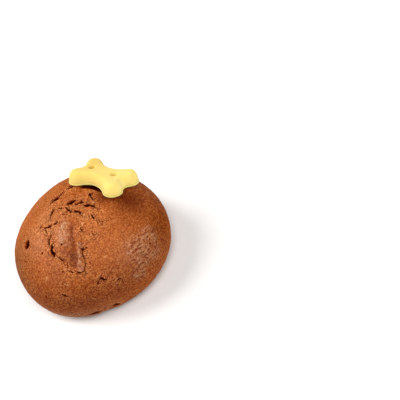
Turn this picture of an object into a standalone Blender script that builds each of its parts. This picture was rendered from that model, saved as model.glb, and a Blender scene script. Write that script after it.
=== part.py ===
# An iced dog muffin: a domed brown bake with a crackled top, and a bone biscuit resting on it.
# Metres, +Z up. The origin is the middle of the flat foot, and the camera's side is -Y.
import math

import bmesh
import bpy
from mathutils import Matrix, Vector, noise

# Driving dimensions of the bake
MUFFIN_RADIUS = 0.036
MUFFIN_HEIGHT = 0.036
WIDEST_HEIGHT = 0.27 * MUFFIN_HEIGHT
FOOT_RADIUS = 0.76 * MUFFIN_RADIUS
DOME_POWER = 2.13
TUCK_POWER = 2.0
TURN_STEPS = 84
DOME_RINGS = 34
TUCK_RINGS = 6
FOOT_RINGS = 2

# Unevenness of the crust: height and wavelength of the broad lumps
LUMP_HEIGHT = 0.00055
LUMP_SIZE = 0.021
LUMP_SEED = 7

# Raised island near the top, with a furrow and a ridge along it
ISLAND_FROM = (-0.0045, -0.003)
ISLAND_TO = (-0.0115, -0.019)
ISLAND_HALF_WIDTH = 0.0045
ISLAND_RISE = 0.0007
FURROW_FROM = (-0.003, -0.008)
FURROW_TO = (-0.0105, -0.0225)
FURROW_HALF_WIDTH = 0.0014
FURROW_DEPTH = 0.0009
RIDGE_FROM = (-0.005, -0.0155)
RIDGE_TO = (-0.01, -0.025)
RIDGE_HALF_WIDTH = 0.0011
RIDGE_RISE = 0.001

# Shallow dents: middle in plan, radius, depth
DENTS = (
    ((0.0225, -0.009), 0.0080, 0.0007),
    ((-0.022, -0.025), 0.0030, 0.0005),
    ((0.0195, -0.0265), 0.0060, 0.0004),
    ((-0.010, 0.022), 0.0090, 0.0006),
)

# Cracks: a route in plan, in millimetres, and the half width in millimetres
CRACKS = (
    (((-13, -4), (-15, -6), (-15.5, -7.5), (-15, -9), (-16.5, -11), (-16, -13), (-15, -15), (-14, -18),
      (-13.5, -20), (-14.5, -21), (-13.5, -23.5), (-11.5, -25), (-9.5, -26)), 0.58),
    (((-4.5, -19.5), (-6, -22), (-7.5, -24.5), (-8.5, -25.5)), 0.42),
    (((1.5, 12.5), (-1, 11.5), (-3, 12), (-5.5, 11.5)), 0.55),
    (((3.5, 4), (2, 4), (0.5, 4)), 0.75),
    (((3, 2), (4, 1), (5.5, 1)), 0.55),
    (((6.5, -2), (8, -3.5), (9, -4.5), (9.5, -6.5)), 0.62),
    (((11.5, 2.5), (10.5, 2.5), (10.5, 0.5), (10.5, -1)), 0.48),
    (((-4, 5.5), (-3, 4), (-1.5, 4.5), (-1, 1.5), (-0.5, -1), (1.5, -2.5), (3, -3.5)), 0.52),
    (((-6, 6.5), (-7.5, 5), (-9.5, 3.5)), 0.48),
    (((6, -8.5), (6, -10.5)), 0.55),
    (((-15, 3.5), (-13, 1), (-11.5, -0.5), (-8, -1.5)), 0.48),
    (((-23, 4), (-24, 2.5), (-24.5, 1.5)), 0.60),
)
CRACK_SINK = 0.00012
CRACK_SIDES = 4
CRACK_END = 0.3

# Bone biscuit: four round lobes joined by a waist, flat below and rounded above. It lies off the
# axis at an azimuth and distance, and leans outwards in a direction of its own
LOBE_SPACING_LONG = 0.0197
LOBE_SPACING_WIDE = 0.0109
LOBE_RADIUS = 0.0044
WAIST_HALF_WIDTH = 0.0058
END_NOTCH = 0.0021
BONE_THICKNESS = 0.0055
BONE_ROUNDING = 0.0025
BONE_ROUND_POWER = 2.2
BONE_LEVELS = (0.3, 0.55, 0.75, 0.9, 0.975, 1.0)
LOBE_ARC_STEPS = 10
WAIST_ARC_STEPS = 4
NOTCH_ARC_STEPS = 3
BONE_SHARP_ANGLE = math.radians(50)
BONE_AZIMUTH = math.radians(22.7)
BONE_DISTANCE = 0.0207
BONE_LEAN_AZIMUTH = math.radians(27.7)
BONE_TILT = math.radians(25)
BONE_GAP = 0.0003
BONE_PRESS = 0.0001
HOLE_SPACING = 0.0126
HOLE_RADIUS = 0.0018
HOLE_TAPER = 0.45
HOLE_DEPTH = 0.0016
HOLE_SIDES = 12

CRUST_COLOUR = (0.38, 0.115, 0.034, 1.0)
CRUST_ROUGHNESS = 0.75
BISCUIT_COLOUR = (0.95, 0.76, 0.21, 1.0)
BISCUIT_ROUGHNESS = 0.8

MM = 0.001
MERGE = 0.00001
SLOPE_STEP = 0.0002


def clear_scene():
    for old in list(bpy.data.objects):
        bpy.data.objects.remove(old)


def new_collection(name):
    group = bpy.data.collections.new(name)
    bpy.context.scene.collection.children.link(group)
    return group


def new_material(name, colour, roughness):
    material = bpy.data.materials.new(name)
    material.use_nodes = True
    shader = material.node_tree.nodes["Principled BSDF"]
    shader.inputs["Base Color"].default_value = colour
    shader.inputs["Roughness"].default_value = roughness
    shader.inputs["Metallic"].default_value = 0.0
    material.diffuse_color = colour
    return material


def object_from_mesh(name, mesh, group):
    thing = bpy.data.objects.new(name, mesh)
    group.objects.link(thing)
    return thing


def apply_modifiers(thing):
    # The evaluated mesh takes the place of the object's own
    graph = bpy.context.evaluated_depsgraph_get()
    mesh = bpy.data.meshes.new_from_object(thing.evaluated_get(graph))
    thing.modifiers.clear()
    thing.data = mesh


def dome_height(distance):
    # Height of the plain dome above the foot, at a distance from the axis
    share = min(distance / MUFFIN_RADIUS, 1.0)
    rise = (1.0 - share ** DOME_POWER) ** (1.0 / DOME_POWER)
    return WIDEST_HEIGHT + (MUFFIN_HEIGHT - WIDEST_HEIGHT) * rise


def bake_profile():
    # From the apex down the outside, round under the widest circle and in over the foot
    points = []
    for ring in range(DOME_RINGS + 1):
        angle = math.pi / 2 * (1.0 - ring / DOME_RINGS)
        radius = MUFFIN_RADIUS * max(math.cos(angle), 0.0) ** (2 / DOME_POWER)
        rise = math.sin(angle) ** (2 / DOME_POWER)
        points.append((radius, WIDEST_HEIGHT + (MUFFIN_HEIGHT - WIDEST_HEIGHT) * rise))
    points[0] = (0.0, MUFFIN_HEIGHT)
    for ring in range(1, TUCK_RINGS + 1):
        angle = math.pi / 2 * ring / TUCK_RINGS
        radius = FOOT_RADIUS + (MUFFIN_RADIUS - FOOT_RADIUS) * max(math.cos(angle), 0.0) ** (2 / TUCK_POWER)
        points.append((radius, WIDEST_HEIGHT * (1.0 - math.sin(angle) ** (2 / TUCK_POWER))))
    for ring in range(1, FOOT_RINGS + 1):
        points.append((FOOT_RADIUS * (1.0 - ring / FOOT_RINGS), 0.0))
    return points


def away_from_line(x, y, start, end):
    # Distance in plan from a straight run
    run = Vector(end) - Vector(start)
    along = (Vector((x, y)) - Vector(start)).dot(run) / run.length_squared
    along = min(max(along, 0.0), 1.0)
    nearest = Vector(start) + run * along
    return (Vector((x, y)) - nearest).length


def bump(distance, half_width):
    return math.exp(-((distance / half_width) ** 2))


def relief(point):
    # How far the crust stands out from the plain turned form
    x, y = point.x, point.y
    off_floor = min(point.z / WIDEST_HEIGHT, 1.0)
    offset = off_floor * noise.noise((point + Vector((LUMP_SEED, 0, 0))) / LUMP_SIZE) * LUMP_HEIGHT
    above = min(max((point.z - WIDEST_HEIGHT) / WIDEST_HEIGHT, 0.0), 1.0)
    offset += above * ISLAND_RISE * bump(away_from_line(x, y, ISLAND_FROM, ISLAND_TO), ISLAND_HALF_WIDTH)
    offset -= above * FURROW_DEPTH * bump(away_from_line(x, y, FURROW_FROM, FURROW_TO), FURROW_HALF_WIDTH)
    offset += above * RIDGE_RISE * bump(away_from_line(x, y, RIDGE_FROM, RIDGE_TO), RIDGE_HALF_WIDTH)
    for middle, radius, depth in DENTS:
        offset -= above * depth * bump(math.hypot(x - middle[0], y - middle[1]), radius)
    return offset


def dome_normal(x, y):
    step = SLOPE_STEP
    slope_x = (dome_height(math.hypot(x + step, y)) - dome_height(math.hypot(x - step, y))) / (2 * step)
    slope_y = (dome_height(math.hypot(x, y + step)) - dome_height(math.hypot(x, y - step))) / (2 * step)
    return Vector((-slope_x, -slope_y, 1.0)).normalized()


def on_crust(x, y, sink=0.0):
    point = Vector((x, y, dome_height(math.hypot(x, y))))
    return point + dome_normal(x, y) * (relief(point) - sink)


def bone_frame():
    # Turns the biscuit's own axes to where it lies: long axis level, pressed a little into the crust
    x = BONE_DISTANCE * math.cos(BONE_AZIMUTH)
    y = BONE_DISTANCE * math.sin(BONE_AZIMUTH)
    turn = Matrix.Rotation(BONE_LEAN_AZIMUTH - math.pi / 2, 4, "Z") @ Matrix.Rotation(-BONE_TILT, 4, "X")
    lift = turn.to_3x3() @ Vector((0, 0, -BONE_PRESS))
    return Matrix.Translation(on_crust(x, y) + lift) @ turn


def make_muffin(group, cutters, material):
    profile = bake_profile()
    mesh = bpy.data.meshes.new("muffin_profile")
    edges = [(i, i + 1) for i in range(len(profile) - 1)]
    mesh.from_pydata([(radius, 0.0, height) for radius, height in profile], edges, [])
    muffin = object_from_mesh("muffin", mesh, group)
    screw = muffin.modifiers.new("turn", "SCREW")
    screw.steps = TURN_STEPS
    screw.render_steps = TURN_STEPS
    screw.use_merge_vertices = True
    screw.merge_threshold = MERGE
    apply_modifiers(muffin)
    shape_crust(muffin.data)
    muffin.data.materials.clear()
    muffin.data.materials.append(material)
    cut = muffin.modifiers.new("cracks", "BOOLEAN")
    cut.operation = "DIFFERENCE"
    cut.operand_type = "COLLECTION"
    cut.collection = cutters
    return muffin


def shape_crust(mesh):
    # Lumps, island, furrow, ridge and dents, and the flat that the biscuit rests on
    frame = bone_frame()
    to_bone = frame.inverted()
    work = bmesh.new()
    work.from_mesh(mesh)
    work.normal_update()
    moves = [(vert, vert.normal * relief(vert.co)) for vert in work.verts if vert.co.z > MERGE]
    for vert, move in moves:
        vert.co += move
    for vert in work.verts:
        local = to_bone @ vert.co
        if local.z > -BONE_GAP and abs(local.z) < BONE_THICKNESS:
            local.z = -BONE_GAP
            vert.co = frame @ local
    bmesh.ops.triangulate(work, faces=work.faces)
    work.to_mesh(mesh)
    work.free()
    mesh.shade_smooth()


def make_crack(name, route, half_width, cutters):
    # A tapering rod laid along the crust, whose lower half cuts the crack
    curve = bpy.data.curves.new(name, "CURVE")
    curve.dimensions = "3D"
    curve.bevel_depth = half_width
    curve.bevel_resolution = CRACK_SIDES // 4 - 1
    curve.use_fill_caps = True
    spline = curve.splines.new("POLY")
    spline.points.add(len(route) - 1)
    for index, (x, y) in enumerate(route):
        point = on_crust(x * MM, y * MM, CRACK_SINK)
        spline.points[index].co = (*point, 1.0)
        at_end = index in (0, len(route) - 1)
        spline.points[index].radius = CRACK_END if at_end else 1.0
    rod = bpy.data.objects.new(name, curve)
    cutters.objects.link(rod)
    graph = bpy.context.evaluated_depsgraph_get()
    mesh = bpy.data.meshes.new_from_object(rod.evaluated_get(graph))
    work = bmesh.new()
    work.from_mesh(mesh)
    bmesh.ops.remove_doubles(work, verts=work.verts, dist=MERGE)
    bmesh.ops.recalc_face_normals(work, faces=work.faces)
    work.to_mesh(mesh)
    work.free()
    bpy.data.objects.remove(rod)
    cutter = object_from_mesh(name, mesh, cutters)
    hide_cutter(cutter)


def hide_cutter(cutter):
    cutter.hide_render = True
    cutter.display_type = "WIRE"


def arc_points(middle, radius, start, end, steps):
    points = []
    for step in range(steps):
        angle = start + (end - start) * step / steps
        points.append((middle[0] + radius * math.cos(angle), middle[1] + radius * math.sin(angle)))
    return points


def joining_radius(half_gap, valley):
    # Radius of the arc that touches the two lobes beside it and dips to a valley past their middles
    return (half_gap ** 2 + valley ** 2 - LOBE_RADIUS ** 2) / (2 * (LOBE_RADIUS - valley))


def bone_outline():
    # A quarter is half the end notch, a lobe and half the waist, all arcs, and the rest mirrors it
    half_long = LOBE_SPACING_LONG / 2
    half_wide = LOBE_SPACING_WIDE / 2
    notch_radius = joining_radius(half_wide, END_NOTCH)
    waist_radius = joining_radius(half_long, WAIST_HALF_WIDTH - half_wide)
    notch_middle = (half_long + END_NOTCH + notch_radius, 0.0)
    waist_middle = (0.0, WAIST_HALF_WIDTH + waist_radius)
    to_notch = math.atan2(-half_wide, notch_middle[0] - half_long)
    to_waist = math.atan2(waist_middle[1] - half_wide, -half_long)
    quarter = arc_points(notch_middle, notch_radius, math.pi, to_notch + math.pi, NOTCH_ARC_STEPS)
    quarter += arc_points((half_long, half_wide), LOBE_RADIUS, to_notch, to_waist, LOBE_ARC_STEPS)
    quarter += arc_points(waist_middle, waist_radius, to_waist - math.pi, -math.pi / 2, WAIST_ARC_STEPS)
    half = quarter + [(0.0, WAIST_HALF_WIDTH)] + [(-x, y) for x, y in reversed(quarter[1:])]
    return half + [(-x, -y) for x, y in half]


def make_bone(group, cutters, material):
    work = bmesh.new()
    corners = [work.verts.new((x, y, 0.0)) for x, y in bone_outline()]
    base = work.faces.new(corners)
    raised = bmesh.ops.extrude_face_region(work, geom=[base])
    top = [item for item in raised["geom"] if isinstance(item, bmesh.types.BMFace)]
    reached, inset = 0.0, 0.0
    for level in BONE_LEVELS:
        drawn_in = BONE_ROUNDING * (1.0 - (1.0 - level ** BONE_ROUND_POWER) ** (1 / BONE_ROUND_POWER))
        if reached > 0.0:
            bmesh.ops.inset_region(work, faces=top, thickness=drawn_in - inset, use_even_offset=False)
            inset = drawn_in
        bmesh.ops.translate(work, verts=top[0].verts, vec=(0, 0, BONE_THICKNESS * level - reached))
        reached = BONE_THICKNESS * level
    bmesh.ops.recalc_face_normals(work, faces=work.faces)
    bmesh.ops.triangulate(work, faces=work.faces, quad_method="BEAUTY", ngon_method="BEAUTY")
    mesh = bpy.data.meshes.new("bone_biscuit")
    work.to_mesh(mesh)
    work.free()
    mesh.shade_smooth()
    mesh.set_sharp_from_angle(angle=BONE_SHARP_ANGLE)
    mesh.materials.append(material)
    bone = object_from_mesh("bone_biscuit", mesh, group)
    bone.matrix_world = bone_frame()
    cut = bone.modifiers.new("docking_holes", "BOOLEAN")
    cut.operation = "DIFFERENCE"
    cut.operand_type = "COLLECTION"
    cut.collection = cutters
    return bone


def make_docking_hole(name, x, cutters):
    work = bmesh.new()
    bmesh.ops.create_cone(work, cap_ends=True, segments=HOLE_SIDES, radius1=HOLE_RADIUS * HOLE_TAPER,
                          radius2=HOLE_RADIUS, depth=HOLE_DEPTH * 2)
    mesh = bpy.data.meshes.new(name)
    work.to_mesh(mesh)
    work.free()
    cutter = object_from_mesh(name, mesh, cutters)
    cutter.matrix_world = bone_frame() @ Matrix.Translation((x, 0.0, BONE_THICKNESS))
    hide_cutter(cutter)


def build():
    clear_scene()
    parts = new_collection("iced_dog_muffin")
    crack_cutters = new_collection("crack_cutters")
    hole_cutters = new_collection("hole_cutters")
    for number, (route, half_width) in enumerate(CRACKS):
        make_crack("crack_%02d" % number, route, half_width * MM, crack_cutters)
    for side, x in (("left", -HOLE_SPACING / 2), ("right", HOLE_SPACING / 2)):
        make_docking_hole("docking_hole_" + side, x, hole_cutters)
    crust = new_material("muffin_crust", CRUST_COLOUR, CRUST_ROUGHNESS)
    biscuit = new_material("yellow_biscuit", BISCUIT_COLOUR, BISCUIT_ROUGHNESS)
    make_muffin(parts, crack_cutters, crust)
    make_bone(parts, hole_cutters, biscuit)


build()
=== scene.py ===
import math
import random

import bpy
import numpy as np
from mathutils import Matrix, Vector, noise
from mathutils.bvhtree import BVHTree
from mathutils.kdtree import KDTree


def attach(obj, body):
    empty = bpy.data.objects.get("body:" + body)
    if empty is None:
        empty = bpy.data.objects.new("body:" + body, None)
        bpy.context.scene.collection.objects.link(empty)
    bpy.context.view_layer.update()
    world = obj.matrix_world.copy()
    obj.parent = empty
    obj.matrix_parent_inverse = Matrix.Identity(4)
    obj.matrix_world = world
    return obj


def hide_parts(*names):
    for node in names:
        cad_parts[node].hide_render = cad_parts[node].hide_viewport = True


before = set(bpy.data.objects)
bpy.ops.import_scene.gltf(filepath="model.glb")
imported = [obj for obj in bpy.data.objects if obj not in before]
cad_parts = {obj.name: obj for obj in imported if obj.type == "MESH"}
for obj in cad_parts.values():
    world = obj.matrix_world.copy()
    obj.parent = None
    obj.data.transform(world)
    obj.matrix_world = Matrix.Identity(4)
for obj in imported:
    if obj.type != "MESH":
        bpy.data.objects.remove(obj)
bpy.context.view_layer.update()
mm = 0.001
tiny = 1e-6
noiseSeed = 4
noise.seed_set(noiseSeed)  # without it the vector noise changes with the clock

# The camera stands where the photographer stood, and is turned as the picture is
view = {
    "photoSize": 400,  # pixels a side
    "lens": 100.0,  # mm
    "sensor": 36.0,  # mm
    "distance": 0.4925,
    "elevation": 46.35,  # degrees above the foot
    "roll": 33.32,  # degrees
    "aimHeight": 0.0162,  # a point on the muffin's axis
    "aimPixel": (88.1, 237.1),  # and where the photograph shows it
    "nearestSeen": 0.01,
}

studio = {
    "floorSize": 8.0,
    "floorSeen": (0.92, 0.92, 0.92),  # overexposed, as in the photograph
    "floorLighting": (0.72, 0.71, 0.70),  # what it throws back onto the muffin
    "white": (1.0, 1.0, 1.0, 1.0),
    "skyStrength": 0.12,  # what lights the muffin
    "backdropStrength": 1.0,  # what is seen behind it
    # azimuth and elevation of each light in degrees, strength, softness in degrees, colour
    "lights": {
        "leftBox": (138.0, 42.0, 2.8, 42.0, (1.0, 0.985, 0.96)),
        "frontBox": (285.0, 64.0, 1.88, 45.0, (1.0, 0.99, 0.975)),
        "lowBox": (308.0, 24.0, 1.0, 40.0, (1.0, 0.99, 0.975)),
    },
}


def deselectAll():
    if bpy.context.object and bpy.context.object.mode != "OBJECT":
        bpy.ops.object.mode_set(mode="OBJECT")
    bpy.ops.object.select_all(action="DESELECT")


def applyModifier(piece, kind, **settings):
    # adds one modifier, sets it and applies it at once
    modifier = piece.modifiers.new(kind.lower(), kind)
    for name, value in settings.items():
        setattr(modifier, name, value)
    bpy.context.view_layer.objects.active = piece
    bpy.ops.object.modifier_apply(modifier=modifier.name)


def startEditing(piece, parts):
    # opens one piece, for its edges or faces to be picked
    deselectAll()
    piece.select_set(True)
    bpy.context.view_layer.objects.active = piece
    bpy.ops.object.mode_set(mode="EDIT")
    bpy.ops.mesh.select_mode(type=parts)


def pixelRay(x, y):
    # the direction of a pixel in the camera's own axes
    span = view["sensor"] / view["lens"] / view["photoSize"]
    half = view["photoSize"] / 2
    return Vector(((x - half) * span, (half - y) * span, -1.0)).normalized()


def makeCamera():
    elevation = math.radians(view["elevation"])
    roll = math.radians(view["roll"])
    back = Vector((0.0, -math.cos(elevation), math.sin(elevation)))
    right = Vector((1.0, 0.0, 0.0))
    worldAxes = Matrix((right, back.cross(right), back)).transposed()
    ray = pixelRay(*view["aimPixel"])
    level = Vector((math.cos(roll), math.sin(roll), 0.0))
    across = (level - ray * level.dot(ray)).normalized()
    pixelAxes = Matrix((across, (-ray).cross(across), -ray)).transposed()
    turn = worldAxes @ pixelAxes.transposed()
    place = Vector((0.0, 0.0, view["aimHeight"])) + back * view["distance"]
    bpy.ops.object.camera_add(location=place, rotation=turn.to_euler())
    camera = bpy.context.object
    camera.data.sensor_width = view["sensor"]
    camera.data.lens = view["lens"]
    camera.data.clip_start = view["nearestSeen"]
    bpy.context.scene.camera = camera
    return place, turn


class Val:
    # a shader socket that ordinary arithmetic works on
    def __init__(self, paint, socket):
        self.paint = paint
        self.socket = socket

    def maths(self, operation, first, second):
        return self.paint.node("ShaderNodeMath", {"operation": operation}, {0: first, 1: second})

    def __add__(self, other):
        return self.maths("ADD", self, other)

    def __radd__(self, other):
        return self.maths("ADD", other, self)

    def __sub__(self, other):
        return self.maths("SUBTRACT", self, other)

    def __rsub__(self, other):
        return self.maths("SUBTRACT", other, self)

    def __mul__(self, other):
        return self.maths("MULTIPLY", self, other)

    def __rmul__(self, other):
        return self.maths("MULTIPLY", other, self)


class Paint:
    # one material and the nodes that feed its shader
    def __init__(self, name):
        self.material = bpy.data.materials.new(name)
        self.material.use_nodes = True
        self.tree = self.material.node_tree
        self.shader = self.tree.nodes["Principled BSDF"]

    def constants(self, values):
        for socket, value in values.items():
            self.shader.inputs[socket].default_value = value

    def feed(self, socket, value):
        self.tree.links.new(value.socket, self.shader.inputs[socket])

    def node(self, kind, settings=None, sockets=None, output=0):
        made = self.tree.nodes.new(kind)
        for name, value in (settings or {}).items():
            setattr(made, name, value)
        for name, value in (sockets or {}).items():
            if isinstance(value, Val):
                self.tree.links.new(value.socket, made.inputs[name])
            else:
                made.inputs[name].default_value = value
        return Val(self, made.outputs[output])

    def place(self, stretch=(1, 1, 1), turn=(0, 0, 0)):
        # the point on the piece, in its own axes, stretched and turned
        coordinates = self.node("ShaderNodeTexCoord", output="Object")
        sockets = {"Vector": coordinates, "Scale": stretch, "Rotation": turn}
        return self.node("ShaderNodeMapping", {"vector_type": "TEXTURE"}, sockets)

    def cloud(self, size, detail=2.0, roughness=0.5, stretch=(1, 1, 1), turn=(0, 0, 0), warp=0.0):
        # soft noise whose patches are about size across
        sockets = {"Vector": self.place(stretch, turn), "Scale": 1.0 / size, "Detail": detail,
                   "Roughness": roughness, "Distortion": warp}
        return self.node("ShaderNodeTexNoise", None, sockets, "Fac")

    def specks(self, size, radius, share):
        # round spots in some cells of a loose grid: radius as part of a cell, share as part of all cells
        sockets = {"Vector": self.place(), "Scale": 1.0 / size}
        distance = self.node("ShaderNodeTexVoronoi", {"feature": "F1"}, sockets, "Distance")
        colour = self.node("ShaderNodeTexVoronoi", {"feature": "F1"}, sockets, "Color")
        pick = self.node("ShaderNodeSeparateColor", None, {"Color": colour}, "Red")
        return self.between(distance, radius, radius * 0.5) * self.between(pick, share + 0.02, share)

    def between(self, value, low, high, outLow=0.0, outHigh=1.0):
        sockets = {"Value": value, "From Min": low, "From Max": high, "To Min": outLow, "To Max": outHigh}
        return self.node("ShaderNodeMapRange", {"interpolation_type": "SMOOTHSTEP"}, sockets)

    def mixed(self, share, first, second, blend="MIX"):
        # colours, either of them a link or three numbers
        settings = {"data_type": "RGBA", "blend_type": blend}
        sockets = {0: share}
        for index, colour in ((6, first), (7, second)):
            sockets[index] = colour if isinstance(colour, Val) else (*colour, 1.0)
        return self.node("ShaderNodeMix", settings, sockets, 2)

    def nearness(self, middle, radius):
        # 1 at a place on the piece, falling to 0 at radius from it
        coordinates = self.node("ShaderNodeTexCoord", output="Object")
        sockets = {0: coordinates, 1: middle}
        away = self.node("ShaderNodeVectorMath", {"operation": "DISTANCE"}, sockets, "Value")
        return self.between(away, 0.0, radius, 1.0, 0.0)

    def spotted(self, colour, spots, shade, blend="MIX"):
        # lays a second colour over the first round some places: middle, radius and share of each
        for middle, radius, share in spots:
            colour = self.mixed(self.nearness(middle, radius) * share, colour, shade, blend)
        return colour

    def height(self):
        coordinates = self.node("ShaderNodeTexCoord", output="Object")
        return self.node("ShaderNodeSeparateXYZ", None, {"Vector": coordinates}, "Z")

    def attribute(self, name):
        return self.node("ShaderNodeAttribute", {"attribute_name": name}, None, "Fac")

    def bump(self, height, distance, strength=1.0):
        sockets = {"Height": height, "Distance": distance, "Strength": strength}
        return self.node("ShaderNodeBump", None, sockets, "Normal")


def makeStudio():
    deselectAll()
    bpy.ops.mesh.primitive_plane_add(size=studio["floorSize"], location=(0.0, 0.0, 0.0))
    floor = bpy.context.object
    floor.name = "floor"
    paint = Paint("studioFloor")
    seen = paint.node("ShaderNodeLightPath", output="Is Camera Ray")
    paint.feed("Base Color", paint.mixed(seen, studio["floorLighting"], studio["floorSeen"]))
    paint.constants({"Roughness": 1.0, "Specular IOR Level": 0.0})
    floor.data.materials.append(paint.material)

    world = bpy.data.worlds.new("studioWorld")
    world.use_nodes = True
    nodes, links = world.node_tree.nodes, world.node_tree.links
    sky, backdrop = nodes["Background"], nodes.new("ShaderNodeBackground")
    for background, strength in ((sky, "skyStrength"), (backdrop, "backdropStrength")):
        background.inputs["Color"].default_value = studio["white"]
        background.inputs["Strength"].default_value = studio[strength]
    seen = nodes.new("ShaderNodeLightPath")
    either = nodes.new("ShaderNodeMixShader")
    links.new(seen.outputs["Is Camera Ray"], either.inputs[0])
    links.new(sky.outputs[0], either.inputs[1])
    links.new(backdrop.outputs[0], either.inputs[2])
    links.new(either.outputs[0], nodes["World Output"].inputs[0])
    bpy.context.scene.world = world

    for name, (azimuth, elevation, strength, softness, colour) in studio["lights"].items():
        tilt, turn = math.radians(90.0 - elevation), math.radians(90.0 + azimuth)
        bpy.ops.object.light_add(type="SUN", rotation=(tilt, 0.0, turn))
        light = bpy.context.object
        light.name = name
        light.data.energy = strength
        light.data.angle = math.radians(softness)
        light.data.color = colour
    bpy.context.scene.view_settings.view_transform = "Standard"


# The bake, turned about its axis: its sizes as the solid part has them, then the cage it is made from
bun = {
    "radius": 0.036,
    "height": 0.036,
    "widestHeight": 0.27 * 0.036,
    "footRadius": 0.76 * 0.036,
    "domePower": 2.13,
    "tuckPower": 2.0,
    "steps": 56,  # sides, a multiple of four
    "crownRadius": 0.0195,  # inside it the cage is a grid
    "domeRings": 7,
    "tuckRings": 4,
    "smoothing": 3,
    # where the crown blends into the sides, in crown radii: on the cage, and on the smooth bun
    "cageBlend": (1.0, 1.001),
    "bunBlend": (0.7, 1.25),
}


def domeHeight(distance):
    share = np.minimum(np.asarray(distance) / bun["radius"], 1.0)
    rise = (1.0 - share ** bun["domePower"]) ** (1.0 / bun["domePower"])
    return bun["widestHeight"] + (bun["height"] - bun["widestHeight"]) * rise


def cageRings():
    # radius and height of each ring, from just below the crown round the widest circle to the foot
    power = bun["domePower"]
    crownAngle = math.acos((bun["crownRadius"] / bun["radius"]) ** (power / 2))
    rings = []
    for ring in range(1, bun["domeRings"] + 1):
        radius = bun["radius"] * math.cos(crownAngle * (1.0 - ring / bun["domeRings"])) ** (2 / power)
        rings.append((radius, float(domeHeight(radius))))
    for ring in range(1, bun["tuckRings"] + 1):
        angle = math.pi / 2 * ring / bun["tuckRings"]
        overhang = (bun["radius"] - bun["footRadius"]) * max(math.cos(angle), 0.0) ** (2 / bun["tuckPower"])
        height = bun["widestHeight"] * (1.0 - math.sin(angle) ** (2 / bun["tuckPower"]))
        rings.append((bun["footRadius"] + overhang, height))
    return rings


def makeBun():
    # a circle filled with a grid is the crown, and the sides are rings drawn down from its edge
    deselectAll()
    crownHeight = float(domeHeight(bun["crownRadius"]))
    bpy.ops.mesh.primitive_circle_add(vertices=bun["steps"], radius=bun["crownRadius"])
    piece = bpy.context.object
    piece.name = "muffinCrust"
    bpy.ops.object.mode_set(mode="EDIT")
    bpy.ops.mesh.select_mode(type="EDGE")
    bpy.ops.mesh.select_all(action="SELECT")
    bpy.ops.mesh.fill_grid(span=bun["steps"] // 4)
    bpy.ops.mesh.select_all(action="SELECT")
    bpy.ops.transform.translate(value=(0.0, 0.0, crownHeight))
    lastRadius, lastHeight = bun["crownRadius"], crownHeight
    for radius, height in cageRings():
        bpy.ops.mesh.select_all(action="DESELECT")
        bpy.ops.mesh.select_non_manifold()
        bpy.ops.mesh.extrude_edges_move(TRANSFORM_OT_translate={"value": (0.0, 0.0, height - lastHeight)})
        share = radius / lastRadius
        bpy.ops.transform.resize(value=(share, share, 1.0))
        lastRadius, lastHeight = radius, height
    bpy.ops.mesh.select_all(action="SELECT")
    bpy.ops.mesh.normals_make_consistent(inside=False)
    bpy.ops.object.mode_set(mode="OBJECT")
    liftCrown(piece.data, bun["cageBlend"])
    applyModifier(piece, "SUBSURF", levels=bun["smoothing"], render_levels=bun["smoothing"])
    liftCrown(piece.data, bun["bunBlend"])
    return piece


def liftCrown(mesh, blend):
    # puts the crown on the dome, blending into the sides between two distances from the axis
    inside, outside = (bun["crownRadius"] * share for share in blend)
    points = pointsOf(mesh)
    away = np.hypot(points[:, 0], points[:, 1])
    share = np.clip((outside - away) / (outside - inside), 0.0, 1.0) * (points[:, 2] > bun["widestHeight"])
    points[:, 2] += (domeHeight(away) - points[:, 2]) * share
    setPoints(mesh, points)


def closeFoot(piece):
    # fills the flat underside
    startEditing(piece, "EDGE")
    bpy.ops.mesh.select_all(action="DESELECT")
    bpy.ops.mesh.select_non_manifold()
    bpy.ops.mesh.edge_face_add()
    bpy.ops.mesh.select_all(action="SELECT")
    bpy.ops.mesh.normals_make_consistent(inside=False)
    bpy.ops.object.mode_set(mode="OBJECT")


def pointsOf(mesh):
    points = np.empty(len(mesh.vertices) * 3)
    mesh.vertices.foreach_get("co", points)
    return points.reshape(-1, 3)


def normalsOf(mesh):
    normals = np.empty(len(mesh.vertices) * 3)
    mesh.vertex_normals.foreach_get("vector", normals)
    return normals.reshape(-1, 3)


def setPoints(mesh, points):
    mesh.vertices.foreach_set("co", points.ravel())
    mesh.update()


def setAttribute(mesh, name, values):
    attribute = mesh.attributes.new(name, "FLOAT", "POINT")
    attribute.data.foreach_set("value", np.asarray(values, dtype=np.float32))


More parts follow.
